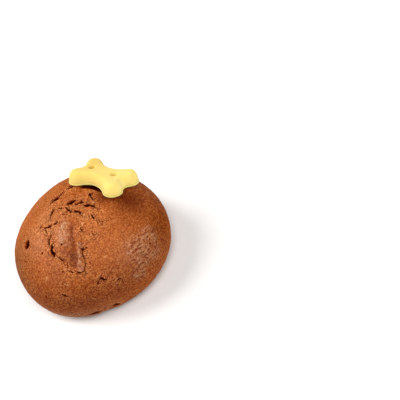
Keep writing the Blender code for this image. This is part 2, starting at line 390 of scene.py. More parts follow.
# Broad relief of the crust, much the same as the solid's
swell = {
    "lumpHeight": 0.00055,
    "lumpSize": 0.021,
    "lumpSeed": 7,
    "crooked": 0.0012,  # how crooked the edges of the raised skin are
    "crookedSize": 0.0032,
    "skinLump": 0.00036,
    "skinLumpSize": 0.0016,
    # where the skin is pale: start, end and half width of each stripe
    "skin": (((-0.0064, -0.0050), (-0.0094, -0.0110), 0.0030),
             ((-0.0042, -0.0172), (-0.0067, -0.0187), 0.0011),
             ((-0.0067, -0.0187), (-0.0100, -0.0248), 0.0012)),
    # places with short raised streaks, running level round the bake: middle and radius
    "streaked": (((0.0186, -0.0283, 0.0196), 0.0066), ((0.0219, -0.0245, 0.0213), 0.0046),
                 ((0.0150, -0.0310, 0.0190), 0.0044), ((0.0100, -0.0335, 0.0160), 0.0036),
                 ((0.0155, -0.0285, 0.0222), 0.0058)),
    "streakedEdge": 1.4,  # in radii, where they end
    "streaks": (0.0011, (2.4, 2.4, 1.0), 0.00032),  # size, stretch and height
    # start, end, half width and rise
    "island": ((-0.0045, -0.003), (-0.0115, -0.019), 0.0045, 0.0007),
    "furrow": ((-0.003, -0.008), (-0.0105, -0.0225), 0.0014, -0.0009),
    "ridge": ((-0.0045, -0.0163), (-0.01, -0.025), 0.0011, 0.001),
    # shallow dents, and where the side is drawn in near the foot: middle, radius and depth
    "dents": (((0.0225, -0.009), 0.0080, 0.0007), ((-0.022, -0.025), 0.0030, 0.0005),
              ((0.0195, -0.0265), 0.0060, 0.0004), ((-0.010, 0.022), 0.0090, 0.0006)),
    "tucks": (((-0.0180, -0.0312, 0.0080), 0.0085, 0.0008), ((-0.0085, -0.0348, 0.0065), 0.0065, 0.0010),
              ((0.0040, -0.0357, 0.0075), 0.0075, 0.0006), ((-0.0105, -0.0343, 0.0050), 0.0045, 0.0009),
              ((-0.0010, -0.0360, 0.0055), 0.0050, 0.0008)),
}

# The crust is hollow under the near edge of the biscuit, between two places along it, and is painted dark
# there as its shadow
hollow = {
    "start": -0.0082,
    "end": 0.0054,
    "taper": 0.0046,
    "inset": 0.0007,
    "width": 0.0015,
    "depth": 0.0008,
}

# Cracks as the photograph shows them: x and y in its pixels, and the half width there, in pixels too
seenCracks = {
    "besideBone": ((72.4, 187.0, 0.85), (68.9, 189.3, 0.5)),
    "upperLeft": ((63.1, 193.5, 0.6), (58.2, 198.1, 0.7), (56.6, 198.8, 1.15), (53.2, 201.1, 0.85),
                  (51.7, 203, 0.6), (50.5, 204.6, 0.35)),
    "upperLens": ((75.3, 200.3, 0.5), (73.1, 201.4, 1.1), (70.8, 202.6, 1.3), (68.5, 203.8, 0.95),
                  (66.6, 204.8, 0.3)),
    "lensNext": ((75.0, 203.4, 0.3), (77.4, 204.4, 0.5), (79.6, 202.9, 0.8), (81.2, 202.2, 1.15),
                 (84.0, 202.5, 0.3)),
    "topRight": ((82.3, 205.8, 0.25), (86.0, 204.9, 0.7), (87.6, 205.2, 1.4), (89.4, 205.6, 0.3)),
    "topRightNext": ((90.3, 205.4, 0.6), (92.8, 205.8, 1.05), (94.2, 206.5, 0.4), (97.2, 208.4, 0.25)),
    "underBone": ((92.9, 193.1, 0.4), (89.6, 194.5, 0.7), (91.0, 196.5, 0.5), (92.0, 198.2, 0.55),
                  (93.5, 199.6, 0.45)),
    "chainStart": ((58.2, 208.4, 0.3), (61.6, 208.4, 0.45)),
    "chain": ((65.2, 207.3, 0.5), (67, 209.2, 0.4), (68.4, 209.9, 1.0), (69.4, 210.8, 0.4)),
    "chainMiddle": ((70.4, 211.8, 0.6), (71.3, 212.1, 0.6)),
    "chainEnd": ((73.4, 212.3, 0.35), (75.5, 211.7, 0.9), (77.5, 211.6, 0.9), (79.2, 211.6, 0.7),
                 (80.4, 213.4, 0.3), (81.9, 215.3, 0.4), (83.4, 216.5, 0.25)),
    "chainLow": ((61.2, 215.1, 0.35), (64.7, 214.3, 0.3), (68.5, 214.5, 0.25)),
    "leftSlit": ((53.6, 209.2, 0.5), (52.2, 213.4, 0.7), (50.5, 217.6, 0.4), (50.1, 219.5, 0.25)),
    "rightSlit": ((91.5, 215.3, 0.55), (92.8, 216.9, 0.7), (94.1, 218.5, 0.5)),
    "rightHair": ((98.7, 220.3, 0.3), (102.6, 221.8, 0.35)),
    "leftCrack": ((57.4, 222.8, 0.5), (56.1, 223.6, 0.85), (54.4, 225.2, 0.3)),
    "leftCrackNext": ((51.6, 226.2, 0.3), (49.8, 226.7, 0.95), (47.6, 227.8, 0.5), (45.4, 228.1, 0.4),
                      (43.1, 227.6, 0.25)),
    "leftCrackEnd": ((41.9, 227.4, 0.3), (40.6, 227.2, 0.6)),
    "arcStart": ((45.7, 229.5, 0.3), (46.9, 233.3, 0.3)),
    "arcTop": ((51.2, 235.0, 0.5), (50.5, 238.5, 0.35), (49.2, 240, 0.65), (49.2, 242.5, 0.65),
               (49.3, 244.8, 0.4)),
    "arcMain": ((51.9, 245.2, 0.7), (52.4, 248, 1.0), (51.5, 250.5, 1.0), (53, 253.2, 1.2),
                (54.6, 254.4, 1.4), (55.1, 256.3, 0.9)),
    "arcLow": ((57.2, 256.3, 0.3), (59.5, 257.8, 0.4), (61.6, 259.3, 0.55), (64.9, 261.8, 0.35),
               (67.6, 262.8, 0.25), (68.5, 265.1, 0.25), (68.3, 267.6, 0.2)),
    "arcFoot": ((69.5, 271.4, 0.2), (71.4, 271.2, 0.45), (73.2, 272.6, 0.6), (75, 272.2, 0.2),
                (76.7, 271.2, 0.3), (78.7, 272.4, 0.6), (80.8, 272.3, 0.6), (82.2, 272, 0.25),
                (83, 271.6, 0.5), (85, 271.1, 0.35)),
    "ridgeSide": ((83.2, 249.4, 0.9), (82.5, 251.7, 0.25), (83.2, 255.5, 0.45), (84, 257.8, 0.25),
                  (84.5, 261, 0.2), (85.5, 263.5, 0.4), (85.5, 266.2, 0.25), (84.4, 268.9, 0.45)),
    "lowHair": ((92.0, 233.2, 0.3), (94.4, 236.7, 0.35)),
    "midMark": ((80.2, 228.7, 0.5), (82.5, 231, 0.4)),
    "leftDash": ((27.6, 243.4, 1.5), (27.8, 244.4, 1.35), (27.4, 245.7, 1.5)),
    "lowArch": ((97.8, 283.4, 0.65), (99.1, 280.2, 0.35), (101.4, 278.0, 0.8), (103.4, 279.6, 0.65),
                (106.6, 279.3, 0.45)),
    "lowDash": ((117.4, 279.9, 0.45), (120.7, 278.8, 0.5)),
    "lowMark": ((62.1, 295.0, 0.55), (64.4, 296.0, 1.0), (67.0, 296.7, 0.6)),
}

# Two shallow gaps by the foot, seen edge on: azimuth in degrees, height in mm and half width in mm
footGaps = {
    "left": ((-122.0, 5.5, 0.4), (-118.6, 5.4, 0.95), (-115.6, 5.2, 1.0), (-112.8, 5.1, 0.5)),
    "right": ((-103.0, 4.8, 0.4), (-100.4, 4.9, 1.0), (-98.0, 5.1, 0.45)),
}

# And cracks on the side that the photograph hides, in the same way
sideCracks = {
    "backLong": ((101, 20, 0.12), (97.5, 18.4, 0.3), (93, 18.9, 0.36), (90, 17.5, 0.2), (86, 17.9, 0.3),
                 (82, 16.6, 0.13)),
    "backFork": ((90, 17.5, 0.16), (88.6, 15.2, 0.28), (89.6, 12.8, 0.13)),
    "backLeft": ((136, 17, 0.12), (131.5, 15.6, 0.3), (127, 16.3, 0.2), (124, 15, 0.12)),
    "backRight": ((56, 16.4, 0.12), (52, 14.5, 0.28), (49.5, 12.6, 0.14)),
    "rightLow": ((21, 10, 0.12), (17, 9.1, 0.26), (12.5, 9.5, 0.14)),
}

crackLook = {
    "wander": 0.00022,  # how crooked the edges are
    "wanderSize": 0.0009,
    "depth": 2.6,  # times the half width
    "deepest": 0.0014,
    "gapDepth": 0.0003,  # of the two gaps by the foot
    "seenDepth": 0.25,  # how far down, as a share, the middle of what shows dark lies
    "leastFacing": 0.7,
    "widening": 1.08,
    "edge": 1.5,  # where the slopes end, in half widths
    "slope": 0.7,  # the less, the steeper
    "thinnest": 0.00015,
    "widestStretch": 3.5,  # most that a half width grows where the crust is seen slantwise
    "lip": 0.00014,  # crust lifted beside a crack
    "lipPlace": 2.2,  # in half widths, as its width
    "lipWidth": 1.2,
    "crumblyReach": 0.0026,  # how far the crust beside a crack is rough
    "blackHalf": 0.28 * mm,  # cracks narrower than this are paler
    "paler": 0.1,
    "leastDark": 0.3,
    "fineWithin": (0.0012, 0.0006),  # faces so near are split, once for each distance
}

# Pale crumbs: pixel and radius in mm, and where they end in radii
flakeEdge = 1.6
flakes = (((93, 202), 0.42), ((84, 214.3), 0.36), ((82, 223.4), 0.40), ((95, 300), 0.38), ((68, 285), 0.38),
          ((65, 284), 0.28), ((147, 250), 0.40), ((146, 261), 0.34), ((136, 274), 0.28), ((105, 257), 0.28),
          ((47, 278), 0.28), ((78.4, 252), 0.42), ((81, 262), 0.42), ((67, 227), 0.34), ((65, 210), 0.28))

# Pits: seen ones by pixel with radius and depth in mm, then a scatter all over
pits = {
    "seen": (
        ((42.7, 253.2), 0.42, 0.5), ((48.4, 253), 0.36, 0.4), ((35.7, 222.5), 0.32, 0.3),
        ((32.9, 277.2), 0.32, 0.3), ((116, 211.4), 0.30, 0.3), ((123.8, 282.8), 0.30, 0.3),
        ((111.6, 286.2), 0.30, 0.3), ((150.6, 243.2), 0.42, 0.4), ((92.4, 227.2), 0.26, 0.3),
        ((90.1, 262.4), 0.30, 0.3), ((93.2, 265.5), 0.30, 0.3), ((95.5, 275.4), 0.28, 0.3),
        ((89.2, 214.7), 0.24, 0.3), ((71.8, 228.1), 0.24, 0.3), ((85.2, 270.8), 0.24, 0.3),
    ),
    "count": 260,
    "smallest": 0.16,
    "largest": 0.42,
    "rareness": 3,  # of the larger ones
    "depth": 0.7,  # share of the radius
    "edge": 1.4,  # where a pit ends, in radii
    "blackRadius": 0.45 * mm,  # smaller ones are paler
    "darkness": 0.8,
    "lowest": 0.004,  # none nearer the foot than this
    "crownFrom": 0.7,  # share of the height above which they lie all over the crown
    "seed": 14,
}


def falloff(away, reach):
    # 1 at no distance, a third of that at the reach and next to nothing at twice the reach
    return np.exp(-(away / reach) ** 2)


def lineDistance(points, start, end):
    # distance of each point from a straight run, and how far along it the nearest place is
    run = end - start
    along = np.clip(((points - start) @ run) / (run @ run), 0.0, 1.0)
    return np.linalg.norm(points - start - along[:, None] * run, axis=1), along


def dropCracks(piece, cameraPlace, cameraTurn):
    # the cracks, pits and crumbs, carried from the picture and from all round onto the smooth bun
    tree = BVHTree.FromObject(piece, bpy.context.evaluated_depsgraph_get())
    pixelSize = view["sensor"] / view["lens"] / view["photoSize"] * view["distance"]

    def seenAt(x, y, depth=0.0):
        # the place on the crust below which a pixel shows what lies so deep
        ray = cameraTurn @ pixelRay(x, y)
        place, normal = tree.ray_cast(cameraPlace, ray)[:2]
        if place is None:
            return None
        facing = max(-ray.dot(normal), crackLook["leastFacing"])
        return np.array(tree.find_nearest(place + (ray / facing + normal) * depth)[0])

    def aroundAt(azimuth, height):
        angle = math.radians(azimuth)
        outwards = Vector((math.cos(angle), math.sin(angle), 0.0))
        return np.array(tree.ray_cast(outwards + Vector((0.0, 0.0, height * mm)), -outwards)[0])

    def depthOf(half, deepest=crackLook["deepest"]):
        return min(crackLook["depth"] * half, deepest)

    def trueHalf(x, y, half, along):
        # the half width on the crust itself, which is more than it looks where the crust is seen slantwise
        length = max(math.hypot(*along), tiny)
        sides = [seenAt(x + side * along[1] / length, y - side * along[0] / length)
                 for side in (-0.5, 0.5)]
        if any(side is None for side in sides):
            return half * pixelSize * crackLook["widestStretch"]
        stretch = np.linalg.norm(sides[1] - sides[0]) / pixelSize
        return half * pixelSize * min(stretch, crackLook["widestStretch"])

    def crackPoint(x, y, half, along):
        half = trueHalf(x, y, half, along)
        return seenAt(x, y, crackLook["seenDepth"] * depthOf(half)), half, depthOf(half)

    lines = []
    for route in seenCracks.values():
        ahead = route[1:] + route[-1:]
        behind = route[:1] + route[:-1]
        lines.append([crackPoint(*point, (after[0] - before[0], after[1] - before[1]))
                      for point, after, before in zip(route, ahead, behind)])
    for routes, deepest in ((sideCracks, crackLook["deepest"]), (footGaps, crackLook["gapDepth"])):
        for route in routes.values():
            lines.append([(aroundAt(azimuth, height), half * mm, depthOf(half * mm, deepest))
                          for azimuth, height, half in route])
    spots = [(seenAt(*pixel, crackLook["seenDepth"] * depth * mm), radius * mm, depth * mm)
             for pixel, radius, depth in pits["seen"]]
    pale = [(seenAt(*pixel), radius * mm) for pixel, radius in flakes]
    return lines, spots, pale


def refineNear(piece, lines, within):
    # splits the faces beside the cracks, so that they come out sharp
    mesh = piece.data
    points = pointsOf(mesh)
    near = np.zeros(len(points), dtype=bool)
    for line in lines:
        for start, end in zip(line[:-1], line[1:]):
            near |= lineDistance(points, start[0], end[0])[0] < within
    for polygon in mesh.polygons:
        polygon.select = all(near[index] for index in polygon.vertices)
    startEditing(piece, "FACE")
    bpy.ops.mesh.subdivide(number_cuts=1)
    bpy.ops.object.mode_set(mode="OBJECT")


def noiseAt(points, size, stretch=(1, 1, 1), shift=0.0):
    # smooth noise from -1 to 1, with patches about size across, drawn out along the axes
    scaled = points / (np.array(stretch) * size) + shift
    return np.array([noise.noise(Vector(point)) for point in scaled])


def broadRelief(points):
    # how far the crust stands out, and the share of it that is raised skin, furrow or streaked
    x, y, z = points.T
    offset = np.minimum(z / bun["widestHeight"], 1.0) * swell["lumpHeight"] * noiseAt(
        points + np.array((swell["lumpSeed"], 0.0, 0.0)), swell["lumpSize"])
    above = np.clip((z - bun["widestHeight"]) / bun["widestHeight"], 0.0, 1.0)
    crooked = wander(points, swell["crookedSize"], swell["crooked"])
    plan = crooked * np.array((1.0, 1.0, 0.0))
    lumps = noiseAt(points, swell["skinLumpSize"])
    shares = {"skin": np.zeros(len(points)), "streaked": np.zeros(len(points))}

    def stripe(start, end, halfWidth):
        away = lineDistance(plan, np.array((*start, 0.0)), np.array((*end, 0.0)))[0]
        return above * falloff(away, halfWidth)

    for name in ("island", "furrow", "ridge"):
        *place, rise = swell[name]
        shares[name] = stripe(*place)
        offset += rise * shares[name]
    for place in swell["skin"]:
        shares["skin"] = np.maximum(shares["skin"], stripe(*place))
    offset += swell["skinLump"] * lumps * np.minimum(shares["island"] + shares["ridge"], 1.0)
    for middle, radius, depth in swell["dents"]:
        offset -= above * depth * falloff(np.hypot(x - middle[0], y - middle[1]), radius)
    for middle, radius, depth in swell["tucks"]:
        offset -= depth * falloff(np.linalg.norm(points - np.array(middle), axis=1), radius)
    for middle, radius in swell["streaked"]:
        share = spot(points, middle, radius, swell["streakedEdge"])
        shares["streaked"] = np.maximum(shares["streaked"], share)
    size, stretch, height = swell["streaks"]
    offset += height * shares["streaked"] * noiseAt(crooked, size, stretch)
    return offset, shares


def spot(points, middle, radius, edge):
    # 1 round a place, falling evenly to 0 at the edge, which is given in radii
    away = np.linalg.norm(points - np.array(middle), axis=1)
    return np.clip(edge - away / radius, 0.0, 1.0)


def wander(points, size, amount):
    # moves points about by smooth noise, so that what is drawn on them is crooked
    return points + np.array([noise.noise_vector(Vector(point) / size) for point in points]) * amount


def carveCracks(points, lines):
    # the sink and lift of the crust at and beside the cracks, how dark each point is, and how rough
    crooked = wander(points, crackLook["wanderSize"], crackLook["wander"])
    sink, lift, dark, rough = (np.zeros(len(points)) for share in range(4))
    for line in lines:
        for (start, startHalf, startDepth), (end, endHalf, endDepth) in zip(line[:-1], line[1:]):
            away, along = lineDistance(crooked, start, end)
            half = startHalf + (endHalf - startHalf) * along
            depth = startDepth + (endDepth - startDepth) * along
            wide = np.maximum(half * crackLook["widening"], crackLook["thinnest"])
            share = np.clip(crackLook["edge"] - away / wide, 0.0, 1.0)
            black = half / crackLook["blackHalf"] - crackLook["paler"]
            onLip = falloff(away - crackLook["lipPlace"] * wide, crackLook["lipWidth"] * wide)
            sink = np.maximum(sink, depth * share ** crackLook["slope"])
            dark = np.maximum(dark, share * np.clip(black, crackLook["leastDark"], 1.0))
            lift = np.maximum(lift, crackLook["lip"] * onLip)
            rough = np.maximum(rough, falloff(away, crackLook["crumblyReach"]))
    return sink, lift * (sink == 0), dark, rough


def pressPits(points, spots):
    # small round pits, deeper where they are wider
    sink, dark = np.zeros(len(points)), np.zeros(len(points))
    tree = KDTree(len(points))
    for index, point in enumerate(points):
        tree.insert(point, index)
    tree.balance()
    rng = random.Random(pits["seed"])
    spots = list(spots)
    while len(spots) < pits["count"]:
        azimuth, height = rng.uniform(0.0, 2 * math.pi), rng.uniform(pits["lowest"], bun["height"])
        larger = rng.random() ** pits["rareness"]
        radius = (pits["smallest"] + (pits["largest"] - pits["smallest"]) * larger) * mm
        outside = Vector((math.cos(azimuth) * bun["radius"], math.sin(azimuth) * bun["radius"], height))
        nearest = tree.find(outside)[0]
        inwards = rng.random() if height > pits["crownFrom"] * bun["height"] else 1.0
        start = Vector((nearest.x * inwards, nearest.y * inwards, 0.0))
        start.z = float(domeHeight(start.length)) if inwards < 1.0 else nearest.z
        spots.append((np.array(tree.find(start)[0]), radius, radius * pits["depth"]))
    for middle, radius, depth in spots:
        for place, index, away in tree.find_range(middle, radius * pits["edge"]):
            share = 1.0 - (away / (pits["edge"] * radius)) ** 2
            sink[index] = max(sink[index], depth * share)
            dark[index] = max(dark[index], min(1.0, radius / pits["blackRadius"]) * share)
    return sink, dark


def seatBiscuit(points, biscuitFrame):
    # presses the flat that the biscuit lies on, and the hollow under its near edge, whose share is also
    # where the crust is painted dark as shadow
    into = np.array(biscuitFrame.inverted())
    back = np.array(biscuitFrame)
    local = points @ into[:3, :3].T + into[:3, 3]
    high = (local[:, 2] > -biscuit["gap"]) & (np.abs(local[:, 2]) < biscuit["thickness"])
    local[high, 2] = -biscuit["gap"]
    edge = [np.array((x, y + hollow["inset"], 0.0)) for x, y in biscuitOutline()
            if y < 0.0 and hollow["start"] < x < hollow["end"]]
    plan = local * np.array((1.0, 1.0, 0.0))
    away = np.min([lineDistance(plan, start, end)[0] for start, end in zip(edge[:-1], edge[1:])], axis=0)
    shaded = (np.abs(local[:, 2]) < biscuit["thickness"]) * falloff(away, hollow["width"])
    fromEnds = np.minimum(local[:, 0] - hollow["start"], hollow["end"] - local[:, 0])
    shaded *= np.clip(fromEnds / hollow["taper"], 0.0, 1.0)
    local[:, 2] -= hollow["depth"] * shaded
    return local @ back[:3, :3].T + back[:3, 3], shaded


# Fine unevenness of the crust: kind of texture, size, height and depth of noise
crumb = {
    "textures": {
        "ripple": ("CLOUDS", 0.0026, 0.00028, 2),
        "pebble": ("VORONOI", 0.0009, -0.00016, 1),
        "grain": ("CLOUDS", 0.0007, 0.00014, 1),
    },
    "flatBelow": 0.0012,  # at half of this height there is none
    "lessInCracks": 0.7,
}


def roughen(piece, textures, **limits):
    # raises and sinks a piece by some textures
    for name, (kind, size, strength, depth) in textures.items():
        texture = bpy.data.textures.new(name, kind)
        texture.noise_scale = size
        if kind == "CLOUDS":
            texture.noise_depth = depth
        applyModifier(piece, "DISPLACE", texture=texture, texture_coords="LOCAL", strength=strength,
                      mid_level=0.5, **limits)


def addCrumb(piece, dark):
    # the textures are left out at the foot and weaker in the cracks
    group = piece.vertex_groups.new(name="crust")
    heights = pointsOf(piece.data)[:, 2]
    weights = np.clip(heights / crumb["flatBelow"] - 0.5, 0.0, 1.0) * (1.0 - crumb["lessInCracks"] * dark)
    for index in np.flatnonzero(weights):
        group.add([int(index)], float(weights[index]), "REPLACE")
    roughen(piece, crumb["textures"], vertex_group="crust")
    piece.vertex_groups.clear()


def makeMuffin(cameraPlace, cameraTurn, biscuitFrame):
    piece = makeBun()
    lines, spots, pale = dropCracks(piece, cameraPlace, cameraTurn)
    for within in crackLook["fineWithin"]:
        refineNear(piece, lines, within)
    mesh = piece.data
    points = pointsOf(mesh)
    normals = normalsOf(mesh)
    offset, shares = broadRelief(points)
    sink, lift, crackDark, rough = carveCracks(points, lines)
    pitSink, pitDark = pressPits(points, spots)
    offset += lift - np.maximum(sink, pitSink)
    offset *= points[:, 2] > tiny
    shaped, shares["hollow"] = seatBiscuit(points + normals * offset[:, None], biscuitFrame)
    shaped[:, 2] = np.maximum(shaped[:, 2], 0.0)
    setPoints(mesh, shaped)
    shares["flake"] = np.zeros(len(points))
    for middle, radius in pale:
        shares["flake"] = np.maximum(shares["flake"], spot(points, middle, radius, flakeEdge))
    shares["opening"] = np.maximum(crackDark, pits["darkness"] * pitDark)
    shares["crumbly"] = rough
    for name, values in shares.items():
        setAttribute(mesh, name, values)
    addCrumb(piece, shares["opening"])
    closeFoot(piece)
    bpy.ops.object.shade_smooth()
    return piece


# Colours of the crust, and where it is paler or darker: middle, radius and share. The pale spots are partly
# a paler bake and partly painted light, the dark spots mostly painted shade
crust = {
    "deepBrown": (0.352, 0.077, 0.0085),
    "brown": (0.422, 0.098, 0.0116),
    "paleBrown": (0.630, 0.184, 0.037),
    "darkAndPaintedShadeTint": (0.450, 0.310, 0.170),
    # painted shade: darker partway down the side, partly a darker bake
    "paintedLowShade": (0.600, 0.520, 0.420),
    "paintedFloorSheen": (0.500, 0.250, 0.140),
    "paintedSheenTint": (0.760, 0.900, 1.000),
    "furrowBrownAndDipShade": (0.255, 0.045, 0.0045),
    "skin": (0.600, 0.264, 0.135),
    "paleStreakAndHighlight": (0.740, 0.410, 0.235),
    "poreAndDipShade": (0.165, 0.023, 0.003),
    "crumb": (0.680, 0.265, 0.085),
    "speck": (0.820, 0.430, 0.190),
    "crackEdge": (0.240, 0.018, 0.0015),
    "inside": (0.040, 0.0035, 0.0008),
    "gloss": 0.24,
    "dullSpot": ((0.0300, -0.0160, 0.0165), 0.014),
    # a painted grey sheen: the left limb is greyed as a reflection would grey it
    "paintedSheenSpots": (((-0.0295, 0.0030, 0.0215), 0.017, 1.0),),
    # painted reflection of the floor: the foot is painted paler and greyer round this place
    "floorSheenSpot": ((-0.0276, -0.0231, 0.0080), 0.030),
    # the pale spots are partly a paler bake and partly painted light on the crown and the right side
    "paleAndPaintedLightSpots": (((0.0040, -0.0200, 0.0320), 0.020, 0.6), ((-0.0120, 0.0000, 0.0345), 0.016, 0.9),
                  ((0.0080, -0.0090, 0.0345), 0.012, 0.7), ((0.0200, -0.0270, 0.0205), 0.012, 0.9),
                  ((0.0130, -0.0325, 0.0170), 0.011, 0.7)),
    # the first three dark spots are painted shade beside and under the biscuit and down the right side,
    # partly a darker bake; the last two are darker patches by the furrow
    "darkAndPaintedShadeSpots": (((0.0235, -0.0065, 0.0295), 0.012, 1.0), ((0.0140, -0.0015, 0.0345), 0.007, 0.9),
                  ((0.0290, -0.0190, 0.0160), 0.012, 0.15), ((-0.0115, -0.0165, 0.0318), 0.0055, 0.5),
                  ((-0.0100, -0.0195, 0.0312), 0.0040, 0.6)),
    "skinSpots": (((-0.0150, -0.0030, 0.0335), 0.014, 0.35), ((-0.0180, -0.0170, 0.0270), 0.012, 0.15),
                  ((-0.0085, 0.0060, 0.0352), 0.010, 0.30), ((0.0120, -0.0290, 0.0230), 0.012, 0.30)),
    # how strongly each layer is laid on
    "strengths": {"crumbly": 0.9, "furrow": 0.75, "patchy": 0.8, "hazy": 0.35, "foot": 0.85, "flake": 0.7,
                  "low": 0.8, "crackEdge": 0.75},
    # two values, between which a share goes from 0 to 1, or from a third value to a fourth
    "ranges": {
        "tone": (0.35, 0.65),
        "patchy": (0.55, 0.95),
        "hazy": (0.35, 1.10),
        "foot": (0.013, 0.005),  # heights, as the next two
        "low": (0.028, 0.016),
        "lowest": (0.006, 0.016, 0.35, 1.0),
        "crackEdge": (0.0, 0.3),
        "inside": (0.12, 0.6),
        "hollow": (0.15, 0.45),
        "shiny": (0.25, 0.0),
        "roughness": (0.3, 0.7, 0.52, 0.66),
    },
    "blotchesAndSkin": (0.9, 0.5),  # how much of each makes the crust patchy
    "toneInHaze": 0.6,
    "grainEverywhere": 0.6,  # and what the crumbly and low parts add, and the skin takes away
    "grainMore": {"crumbly": 0.4, "low": 0.2, "skin": 0.15},
    # soft noises: size, detail, roughness, stretch, turn and warp
    "clouds": {
        "tone": (0.011, 3.0, 0.6),
        "blotches": (0.0011, 2.0, 0.5),
        "pebble": (0.0017, 3.0, 0.6),
        "grain": (0.0007, 3.0, 0.7),
        "fine": (0.00045, 2.0, 0.6),
        "wrinkles": (0.0014, 3.0, 0.6, (1, 1, 1), (0, 0, 0), 1.5),
        "streaks": (0.0006, 3.0, 0.7, (5.0, 5.0, 1.0), (-0.13, 0.19, 0.0), 0.5),
    },
    # colours that lie where a noise is between two values: noise, values, share and colour. Where the same
    # noise raises the bump, the pale colour is partly painted light on the raised parts and the dark one
    # partly painted shade in the low parts
    "skinGrain": (("blotches", 0.53, 0.63, 0.8, "paleStreakAndHighlight"), ("blotches", 0.46, 0.38, 0.5, "furrowBrownAndDipShade")),
    "streakGrain": (("streaks", 0.48, 0.41, 0.95, "furrowBrownAndDipShade"), ("streaks", 0.53, 0.59, 0.95, "paleStreakAndHighlight")),
    "crackGrain": (("fine", 0.48, 0.40, 1.0, "poreAndDipShade"), ("fine", 0.53, 0.60, 1.0, "crumb")),
    "grain": (("pebble", 0.50, 0.38, 0.4, "poreAndDipShade"), ("pebble", 0.53, 0.66, 0.3, "crumb"),
              ("grain", 0.50, 0.41, 0.95, "poreAndDipShade"), ("grain", 0.54, 0.63, 0.9, "crumb")),
    # round specks: size of the cell, radius and share in it, strength and colour
    "specks": ((0.0021, 0.17, 0.4, 0.8, "poreAndDipShade"), (0.0026, 0.14, 0.25, 0.5, "speck")),
    # how much of each height the bump has
    "bumps": {"pebble": 0.5, "grain": 0.6, "wrinkles": 0.8, "streaks": 0.8, "blotches": 2.4},
    "bumpDistance": 0.0008,
    "shader": {
        "Coat Roughness": 0.58,
        "Specular IOR Level": 0.0,
        "Subsurface Weight": 0.6,
        "Subsurface Radius": (1.0, 0.3, 0.12),
        "Subsurface Scale": 0.0008,
    },
}

biscuit = {
    "lobeLong": 0.0197,
    "lobeWide": 0.0109,
    "lobeRadius": 0.0044,
    "waist": 0.0058,
    "notch": 0.0021,
    "thickness": 0.0055,
    "flange": 0.0006,  # height of the thin rim at the underside
    "ledge": 0.00025,  # and how far it stands out
    "rounding": 0.0030,
    "roundPower": 2.2,
    "levels": (0.2, 0.35, 0.5, 0.64, 0.76, 0.86, 0.93, 0.98, 1.0),
    "arcSteps": (4, 14, 6),  # along the notch, the lobe and the waist
    "fineness": 0.00017,
    "gap": 0.0006,  # between it and the flat that it lies on
    "lobeCrown": 0.0002,
    "crownReach": 0.6,  # in lobe radii
    "arch": 0.0006,  # how far the underside rises between the lobes
    "archReach": 0.27,  # and how far along, as a share of lobeLong
    "archTop": 0.6,  # and how far up, as a share of the thickness
    "topFrom": 0.5,  # share of the thickness from which on it counts as the top
    "holeSpacing": 0.0126,
    "holeRadius": 0.0017,
    "holeDepth": 0.0013,
    "holeFlat": 1.3,  # the more, the flatter the bottom
    "grooveAt": 0.8,  # in ledges above the rim
    "rimAt": 0.5,
    "textures": {"biscuitLumps": ("CLOUDS", 0.004, 0.00022, 1),
                 "biscuitGrain": ("CLOUDS", 0.0006, 0.00008, 1)},
    # colours, and where they lie: middle, radius and share; the pale spots are painted light and the golden
    # spots painted shade
    "yellow": (0.860, 0.640, 0.190),
    "paintedLightYellow": (0.930, 0.760, 0.255),
    "rimPaintedLight": (1.000, 0.820, 0.250),
    "goldenYellow": (0.770, 0.520, 0.120),
    "golden": (0.560, 0.360, 0.030),
    # the pale spots are painted light on the lobes and the wall that lie in shade
    "paleAndPaintedLightSpots": (((0.0261, -0.0030, 0.0341), 0.013, 0.9), ((0.0179, -0.0065, 0.0360), 0.007, 0.8),
                  ((0.0100, 0.0100, 0.0350), 0.007, 0.9)),
    # the golden spots are painted shade on the far lobe and the lit shoulder, the first partly a browner
    # bake
    "goldenPaintedShadeSpots": (((0.0200, 0.0194, 0.0323), 0.012, 0.75), ((0.0185, 0.0023, 0.0378), 0.007, 0.2)),
    # the places with painted shade or light: the dimples and the groove painted golden as shade, the rim
    # painted pale as light; attribute, share and colour
    "parts": (("dimple", 0.7, "golden"), ("groove", 0.35, "golden"), ("rim", 0.8, "rimPaintedLight")),
    # two soft noises, with the values between which they show, and their share
    "toneSize": 0.006,
    "tone": (0.4, 0.7, 0.15),
    "grainSize": 0.0007,
    "grain": (0.55, 0.70, 0.5),
    "bump": (0.0003, 0.8),
    "shader": {
        "Roughness": 0.85,
        "Specular IOR Level": 0.06,
        "Subsurface Weight": 0.8,
        "Subsurface Radius": (1.0, 0.9, 0.6),
        "Subsurface Scale": 0.002,
    },
}


def frameOfBiscuit(node):
    # middle of the underside and the long, wide and upward directions, read from the solid
    toWorld = node.matrix_world
    corners = np.unique(np.array([toWorld @ vertex.co for vertex in node.data.vertices]).round(7), axis=0)
    middle = corners.mean(axis=0)
    longWay, wideWay, upWay = np.linalg.svd(corners - middle, full_matrices=False)[2]
    if upWay[2] < 0:
        upWay = -upWay
    if longWay[1] > 0:
        longWay = -longWay
    wideWay = np.cross(upWay, longWay)
    spans = [(corners - middle) @ way for way in (longWay, wideWay, upWay)]
    middle = (middle + longWay * (spans[0].max() + spans[0].min()) / 2
              + wideWay * (spans[1].max() + spans[1].min()) / 2 + upWay * spans[2].min())
    turned = Matrix.Identity(4)
    for column, way in enumerate((longWay, wideWay, upWay, middle)):
        for row in range(3):
            turned[row][column] = way[row]
    return turned


def arcPoints(middle, radius, start, end, steps):
    points = []
    for step in range(steps):
        angle = start + (end - start) * step / steps
        points.append((middle[0] + radius * math.cos(angle), middle[1] + radius * math.sin(angle)))
    return points


